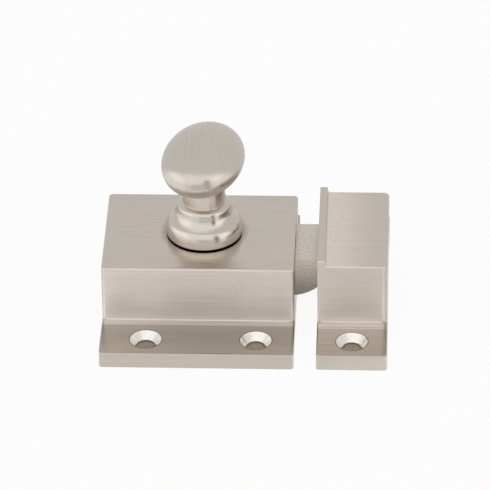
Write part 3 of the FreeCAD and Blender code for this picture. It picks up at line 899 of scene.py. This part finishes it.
@dataclass
class Screw(Made):
    """A slotted machine screw with a cut thread, repeated where it is needed.

    Attributes:
        head: Radius and height of the head's rings, from its outer pole up to the shank.
        crest: The thread's outer radius.
        length: Height at which the shank ends.
        pitch: The thread's pitch.
        depth: The thread's depth.
        slot: Width and depth of the driver's slot.
        places: Where the screws stand.
        segments: How many sides a ring has.
        rings_to_pitch: How many rings make one turn of the thread.
    """

    head: tuple[Point, ...]
    crest: float
    length: float
    pitch: float
    depth: float
    slot: Point
    places: tuple[Place, ...]
    segments: int = 40
    rings_to_pitch: int = 8

    def blank(self) -> bpy.types.Mesh:
        """The screw before its thread and slot are cut."""
        start = self.head[-1][1]
        count = round((self.length - start) / self.pitch * self.rings_to_pitch)
        step = (self.length - start) / count
        shank = [(self.crest, start + step * place) for place in range(1, count + 1)]
        return turned_blank(self.name, (*self.head, *shank, (0.0, self.length)), self.segments)

    def recipe(self, finish: bpy.types.Material) -> Recipe:
        """The tree that cuts the thread and the slot and sets the screws in their places.

        Args:
            finish: The screws' material.

        Returns:
            The tree.
        """
        first = Vector(self.places[0]) * MM
        last = Vector(self.places[-1]) * MM
        start = self.head[-1][1] * MM
        recipe = Recipe(self.name + "_recipe", {
            "Depth": self.depth * MM, "Pitch": self.pitch * MM,
            "Slot width": self.slot[0] * MM, "Slot depth": self.slot[1] * MM,
            "Count": len(self.places), "First": first, "Step": last - first,
            "Finish": finish})
        given = recipe.input
        x, y, z = recipe.split(recipe.add("GeometryNodeInputPosition"))
        radius = x.reach(y)
        turn = y.maths("ARCTAN2", x) / (2 * math.pi)
        wave = abs((z / given["Pitch"] - turn).maths("FRACT") * 2 - 1)
        # The thread's crest and root are flat for a sixth of the pitch each. It runs in
        # over its first turn, and the pole at the shank's end stays where it is.
        groove = (wave * 1.5 - 0.25).highest(0.0).lowest(1.0)
        shank = z.rise(start + 0.2 * self.pitch * MM, start + self.pitch * MM)
        cut = groove * shank * given["Depth"] * radius.rise(0.0, 0.5 * self.crest * MM)
        factor = (radius - cut) / radius.highest(1e-7)
        threaded = recipe.add("GeometryNodeSetPosition", {
            "Geometry": given["Geometry"],
            "Position": recipe.join(x * factor, y * factor, z)})
        # The slot's cutter is longer than the head is wide.
        driver = recipe.add("GeometryNodeMeshCube", {"Size": recipe.join(
            6 * self.crest * MM, given["Slot width"], given["Slot depth"] * 2)})
        seated = recipe.add("GeometryNodeTransform", {
            "Geometry": driver, "Translation": (0.0, 0.0, self.head[0][1] * MM)})
        slotted = recipe.add("GeometryNodeMeshBoolean", {
            "Mesh 1": threaded, "Mesh 2": seated}, operation="DIFFERENCE")
        row = recipe.add("GeometryNodeMeshLine", {
            "Count": given["Count"], "Start Location": given["First"],
            "Offset": given["Step"]}, mode="OFFSET")
        stood = recipe.add("GeometryNodeInstanceOnPoints", {
            "Points": row, "Instance": slotted})
        recipe.close(stood)
        return recipe


@dataclass
class Spring(Made):
    """The compression spring, with a closed coil at each end.

    Attributes:
        start: Where its fixed end is along X, in millimetres.
        end: Where its moving end is.
        height: Its axis above the floor.
        radius: The coils' middle radius.
        wire: The wire's diameter.
        turns: How many turns it has.
        closed: How many turns are closed at each end.
        travel: How far the moving end is pushed in.
        tightness: Pitch of the closed coils, as a share of the wire's diameter.
        steps: Points to a turn.
        sides: Sides of the wire.
    """

    start: float = -17.77
    end: float = -5.48
    height: float = 10.315
    radius: float = 2.2
    wire: float = 0.6
    turns: float = 6.5
    closed: float = 1.0
    travel: float = 6.4
    tightness: float = 1.02
    steps: int = 36
    sides: int = 16

    def recipe(self, finish: bpy.types.Material) -> Recipe:
        """The tree that bends a line into the coils and sweeps the wire along it.

        Args:
            finish: The wire's material.

        Returns:
            The tree.
        """
        recipe = Recipe(self.name + "_recipe", {
            "Turns": self.turns, "Closed turns": self.closed,
            "Coil radius": self.radius * MM, "Wire radius": self.wire / 2 * MM,
            "Length": (self.end - self.start - self.wire) * MM,
            "Start": Vector((self.start + self.wire / 2, 0, self.height)) * MM,
            "Points": round(self.turns * self.steps), "Finish": finish})
        given = recipe.input
        line = recipe.add("GeometryNodeCurvePrimitiveLine")
        points = recipe.add("GeometryNodeResampleCurve", {
            "Curve": line, "Count": given["Points"]}, mode="COUNT")
        turn = recipe.add("GeometryNodeSplineParameter") * given["Turns"]
        tight = given["Wire radius"] * (2 * self.tightness)
        open_turns = given["Turns"] - given["Closed turns"] * 2
        wide = (given["Length"] - tight * given["Closed turns"] * 2) / open_turns
        first = turn.lowest(given["Closed turns"])
        middle = (turn - given["Closed turns"]).highest(0.0).lowest(open_turns)
        last = (turn - given["Turns"] + given["Closed turns"]).highest(0.0)
        along = (first + last) * tight + middle * wide
        angle = turn * (2 * math.pi)
        coil = recipe.join(along, angle.maths("COSINE") * given["Coil radius"],
                           angle.maths("SINE") * given["Coil radius"])
        placed = recipe.vector("ADD", coil, given["Start"])
        bent = recipe.add("GeometryNodeSetPosition", {
            "Geometry": points, "Position": placed})
        section = recipe.add("GeometryNodeCurvePrimitiveCircle", {
            "Resolution": self.sides, "Radius": given["Wire radius"]})
        swept = recipe.add("GeometryNodeCurveToMesh", {
            "Curve": bent, "Profile Curve": section, "Fill Caps": True})
        recipe.close(swept)
        return recipe

    def keep(self, fixed_end: float) -> float:
        """The share of its length that it keeps when the bolt is drawn in."""
        return 1 - self.travel / (self.end - fixed_end)


@dataclass
class Casing:
    """The case with its back plate.

    Attributes:
        screw_along: Half the spacing of the mounting holes along X, in millimetres.
        screw_across: Half their spacing along Y.
        hollow: Lowest and highest corner of the hollow.
        knob_shadow: Radii between which the painted shadow round the knob's foot fades out.
        plate_low: Height of the back plate's outer face.
        plate_screws: Places of the back plate's screws in X and Y.
    """

    screw_along: float = 10.8
    screw_across: float = 20.5
    hollow: tuple[Place, Place] = ((-17.8, -11.9, -1.0), (16.3, 11.9, 13.28))
    knob_shadow: Point = (7.3, 9.2)
    plate_low: float = 3.47
    plate_screws: tuple[Point, ...] = ((-15.9, 10.0), (14.4, -10.0))

    def build(self) -> None:
        """Dress the case and the plate and set the plate's screws."""
        sinks = Countersinks(tuple((one * self.screw_along, two * self.screw_across)
                                   for one in (-1, 1) for two in (-1, 1)))
        finish = SatinNickel("satin_nickel_case", sinks, self.hollow, knob_shadow=self.knob_shadow)
        dress("case", finish.make())
        dress("back_plate", PlainSteel("zinc_plate").make())
        places = tuple((*place, self.plate_low) for place in self.plate_screws)
        head = ((0.0, 0.0), (1.42, 0.0), (1.5, 0.04), (1.5, 0.1), (0.85, 0.72))
        screws = Screw("plate_screws_cut", head, 0.85, 5.2, 0.45, 0.17, (0.42, 0.32), places)
        piece = screws.make(PlainSteel("zinc_screw", grain=None).make())
        seat(piece, "case", "plate_screws")


@dataclass
class Strike:
    """The strike beside the case.

    Attributes:
        left: Its left edge along X, in millimetres.
        width: Its width.
        height: The height of its flat top.
        screw_across: Half the spacing of its mounting holes along Y.
        hollow: Lowest and highest corner of the hollow.
        lip_width: The raised lip's width.
    """

    left: float = 22.66
    width: float = 13.93
    height: float = 16.47
    screw_across: float = 20.5
    hollow: tuple[Place, Place] = ((24.66, -11.9, -1.0), (34.59, 11.9, 14.17))
    lip_width: float = 1.55

    def build(self) -> None:
        """Dress the strike."""
        middle = self.left + self.width / 2
        sinks = Countersinks(((middle, -self.screw_across), (middle, self.screw_across)))
        # The lip is brushed along Y, in a box that is larger than it but for its foot, and
        # the top beside it gets a painted highlight.
        strip = ((self.left - 1, -self.screw_across, self.height + 0.25),
                 (self.left + self.lip_width + 0.3, self.screw_across, self.height + 5))
        crest = (self.left + self.lip_width + 0.1, self.left + 0.9 * self.width)
        wall = WallFinishAndPaintedLight(foot=(0.915, 0.842, 0.788), head=(0.82, 0.755, 0.685), corner=0.30)
        flange = FlangePaintedLight(foot_shade=0.725, edge_shade=0.72, middle_shade=0.0, ends=0.0,
                            highlight_width=1.75)
        finish = SatinNickel("satin_nickel_strike", sinks, self.hollow, wall, flange,
                             strip=strip, crest=crest)
        dress("strike", finish.make())


@dataclass
class Knob:
    """The turn knob with its crank, washer and screw.

    Attributes:
        head_foot: Height where the oval head starts, in millimetres.
        screw_low: Height of the crank screw's seat on the washer.
    """

    head_foot: float = 26.0
    screw_low: float = 7.25

    def build(self) -> None:
        """Dress the knob and the crank and set the crank's screw."""
        dress("knob", TurnedNickel("satin_nickel_knob", head_foot=self.head_foot).make())
        dress("crank", PlainSteel("zinc_crank").make())
        dress("crank_washer", PlainSteel("zinc_washer", grain=None).make())
        head = ((0.0, -1.5), (1.75, -1.5), (2.1, -1.38), (2.32, -1.1), (2.4, -0.8),
                (2.4, -0.06), (2.34, 0.0), (1.25, 0.0))
        screw = Screw("crank_screw_cut", head, 1.25, 5.4, 0.5, 0.2, (0.6, 0.75),
                      ((0.0, 0.0, self.screw_low),))
        piece = screw.make(PlainSteel("zinc_crank_screw", grain=None).make())
        seat(piece, "knob", "crank_screw")


@dataclass
class Bolt:
    """The spring bolt and the spring that pushes it out.

    Attributes:
        spring: The spring.
        spring_wall: Where the case's wall behind the spring is along X, in millimetres.
    """

    spring: Spring = field(default_factory=lambda: Spring("compression_spring"))
    spring_wall: float = -17.8

    def build(self) -> None:
        """Dress the bolt and build its spring."""
        dress("bolt", CastNickel("cast_nickel_bolt").make())
        wire = PlainSteel("spring_wire", colour=(0.46, 0.46, 0.47), tarnish=(0.36, 0.35, 0.34),
                          roughness=0.24, grain=None)
        piece = self.spring.make(wire.make(), smooth=50.0)
        seat(piece, "case", "bolt_spring")
        self.spring.keep(self.spring_wall)
        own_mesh(piece)


@dataclass(frozen=True)
class Panel:
    """A soft panel of the studio, by the directions that it covers, in degrees.

    Attributes:
        left: Its left limit; 0 is the front and 90 the right.
        right: Its right limit.
        low: Its lower limit above the horizon.
        high: Its upper limit.
        glow: How bright it is.
        soft: How wide its edge is.
    """

    left: float
    right: float
    low: float
    high: float
    glow: float
    soft: float = 6.0


@dataclass
class Studio:
    """The soft studio round the catch: a pale dome whose front half is lit.

    Attributes:
        dome: How bright the dome is above and behind.
        front: How bright its lit half is.
        front_side: Which way the lit half looks: 0 is the front and 90 the right.
        front_tilt: How far it looks down, in degrees.
        front_edge: Cosine of the angle at which the lit half ends.
        front_soft: How far to each side of it the edge is soft.
        panels: Panels in the lit half, each over those before it.
        seams: Narrow dark joints between the panels.
    """

    dome: float = 0.69
    front: float = 0.99
    front_side: float = -10.0
    front_tilt: float = 39.0
    front_edge: float = -0.107
    front_soft: float = 0.09
    panels: tuple[Panel, ...] = (
        Panel(44, 130, -60, 26, 1.19, 8.0),
        Panel(-150, -46, -60, 28, 1.17, 8.0),
        Panel(-16, 30, -27, 5, 0.66, 5.0),
    )
    seams: tuple[Panel, ...] = (
        Panel(32.0, 45.5, -27, 1, 0.14, 1.2),
        Panel(32.0, 45.0, 1, 20, 0.12, 1.5),
        Panel(-28, 14, 0.5, 2.5, 0.35, 0.8),
    )

    def glow(self, direction: Wire) -> Wire:
        """How bright the studio is in one direction.

        Args:
            direction: The direction, as a vector of length 1.

        Returns:
            The brightness.
        """
        x, y, z = direction.board.split(direction)
        degree = 180 / math.pi
        azimuth = x.maths("ARCTAN2", -y) * degree
        elevation = z.lowest(1.0).highest(-1.0).maths("ARCSINE") * degree
        side, tilt = math.radians(self.front_side), math.radians(self.front_tilt)
        ahead = (x * (math.sin(side) * math.cos(tilt)) - y * (math.cos(side) * math.cos(tilt))
                 - z * math.sin(tilt))
        lit = ahead.rise(self.front_edge - self.front_soft, self.front_edge + self.front_soft)

        def laid(base: Wire | float, panels: Iterable[Panel]) -> Wire:
            """A brightness with panels laid over it."""
            for panel in panels:
                share = (azimuth.within(panel.left, panel.right, panel.soft)
                         * elevation.within(panel.low, panel.high, panel.soft))
                base = base + (panel.glow - base) * share
            return base

        inner = laid(self.front, self.panels)
        return laid(lit * (inner - self.dome) + self.dome, self.seams)

    def build(self) -> None:
        """Light the scene."""
        world = bpy.data.worlds.new("soft_studio")
        bpy.context.scene.world = world
        world.use_nodes = True
        board = Board(world.node_tree)
        direction = board.add("ShaderNodeTexCoord", result="Generated")
        seen = board.add("ShaderNodeLightPath", result="Is Camera Ray")
        shine = self.glow(direction).blend(1.0, seen)
        light = board.add("ShaderNodeBackground", {
            "Color": (1.0, 1.0, 1.0, 1.0), "Strength": shine})
        board.add("ShaderNodeOutputWorld", {"Surface": light})
        LOG.info("studio of %d panels and %d seams", len(self.panels), len(self.seams))


@dataclass
class Floor:
    """The pale floor under the catch.

    Attributes:
        half: Half its width, in metres.
        paint: How pale it is.
        seen_white: Share of plain white in what the camera sees.
        glossy_white: Share of the studio's glow in what the metal shows of it.
        eye: The point from which that glow is laid on the floor, in millimetres.
        studio: The studio.
        covered: Boxes under the castings, as left, right and half depth in millimetres,
            where the floor is plain and the holes and hollows stay dark.
    """

    half: float = 3.0
    paint: float = 0.9
    seen_white: float = 0.93
    glossy_white: float = 0.6
    eye: Place = (0.0, 0.0, 25.0)
    studio: Studio = field(default_factory=Studio)
    covered: tuple[Place, ...] = ((-19.0, 17.5, 24.6), (23.4, 35.8, 24.6))

    def build(self) -> None:
        """Lay the floor."""
        mesh = bpy.data.meshes.new("floor")
        corners = [(one * self.half, two * self.half, 0.0)
                   for one, two in ((-1, -1), (1, -1), (1, 1), (-1, 1))]
        mesh.from_pydata(corners, [], [(0, 1, 2, 3)])
        mesh.materials.append(self.material())
        put_in("floor", mesh)
        LOG.info("floor laid")

    def material(self) -> bpy.types.Material:
        """A matt white that keeps only a faint shadow."""
        material = bpy.data.materials.new("pale_floor")
        material.use_nodes = True
        board = Board(material.node_tree)
        camera, glossy, through = (
            board.add("ShaderNodeLightPath", result=name)
            for name in ("Is Camera Ray", "Is Glossy Ray", "Is Transmission Ray"))
        x, y, _ = board.split(board.millimetres())
        share = (camera + through) * self.seen_white + glossy * self.glossy_white
        sight = board.vector("SUBTRACT", board.join(x, y, 0.0), self.eye)
        glow = self.studio.glow(board.vector("NORMALIZE", sight))
        pale = glow.blend(1.0, (camera + through).lowest(1.0))
        for left, right, depth in self.covered:
            under = x.within(left, right, 0.1) * y.within(-depth, depth, 0.1)
            share = share * (1 - under)
        matt = board.add("ShaderNodeBsdfDiffuse", {
            "Color": (self.paint, self.paint, self.paint, 1.0)})
        white = board.add("ShaderNodeEmission", {
            "Color": board.join(pale, pale, pale), "Strength": 1.0})
        mixed = board.add("ShaderNodeMixShader", {0: share, 1: matt, 2: white})
        board.add("ShaderNodeOutputMaterial", {"Surface": mixed})
        return material


@dataclass
class Viewpoint:
    """The camera, as it stood for the photograph.

    Attributes:
        target: What it looks at, in millimetres.
        distance: How far it is from there, in millimetres.
        azimuth: How far it stands to the right of the front, in degrees.
        elevation: How far it stands above the floor, in degrees.
        roll: How far it is tilted, in degrees.
        lens: Its focal length, in millimetres.
        sensor: Its sensor's width, in millimetres.
    """

    target: Place = (8.025, 0.0, 12.287)
    distance: float = 882.8
    azimuth: float = 2.5
    elevation: float = 33.2
    roll: float = -0.69
    lens: float = 326.46
    sensor: float = 36.0

    def build(self) -> None:
        """Set up the camera."""
        data = bpy.data.cameras.new("viewpoint")
        data.lens = self.lens
        data.sensor_width = self.sensor
        turn, lift, tilt = (math.radians(angle) for angle in (
            self.azimuth, 90 - self.elevation, self.roll))
        aim = (Matrix.Rotation(turn, 4, "Z") @ Matrix.Rotation(lift, 4, "X")
               @ Matrix.Rotation(tilt, 4, "Z"))
        camera = put_in("viewpoint", data)
        camera.matrix_world = (Matrix.Translation(Vector(self.target) * MM) @ aim
                               @ Matrix.Translation((0, 0, self.distance * MM)))
        bpy.context.scene.camera = camera
        LOG.info("camera stands %.1f mm from its target", self.distance)


def main() -> None:
    """Build the stage and the catch, one sub-assembly after another."""
    logging.basicConfig(level=logging.INFO, format="%(name)s: %(message)s")
    bpy.context.scene.view_settings.view_transform = "Standard"
    for part in (Viewpoint(), Studio(), Floor(), Casing(), Strike(), Knob(), Bolt()):
        part.build()


if __name__ == "__main__":
    main()
